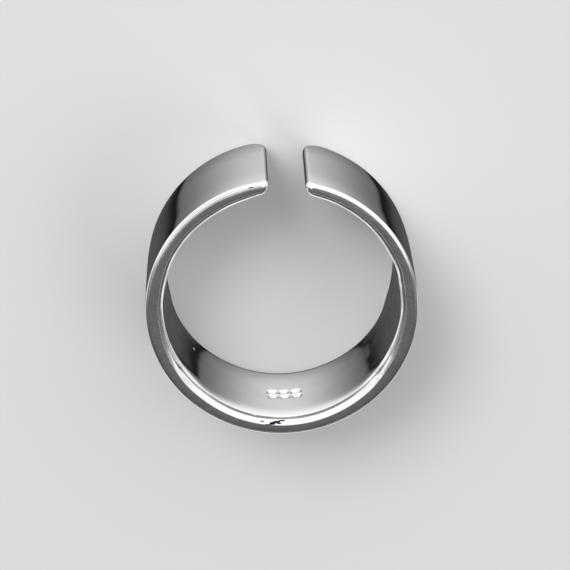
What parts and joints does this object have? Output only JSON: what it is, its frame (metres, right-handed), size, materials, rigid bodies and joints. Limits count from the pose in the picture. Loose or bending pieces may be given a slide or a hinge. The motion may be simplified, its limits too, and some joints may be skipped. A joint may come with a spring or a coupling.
{
  "type": "adjustable ring",
  "caption": "Wide flat band of polished silver bent into an open finger ring, with a narrow gap between its rounded ends so it can be eased wider or closed to fit",
  "frame": {"origin": "on the ring's axis, in the plane of the side face that the ring lies on", "axes": "+Z along the ring's axis and up, +Y from the axis to the middle of the gap, +X to the right of the gap"},
  "size_m": [0.02, 0.0198, 0.0095],
  "materials": {
    "silver": "polished silver, brushed on the side faces"
  },
  "bodies": {
    "root": {"band": "silver"}
  },
  "joints": []
}
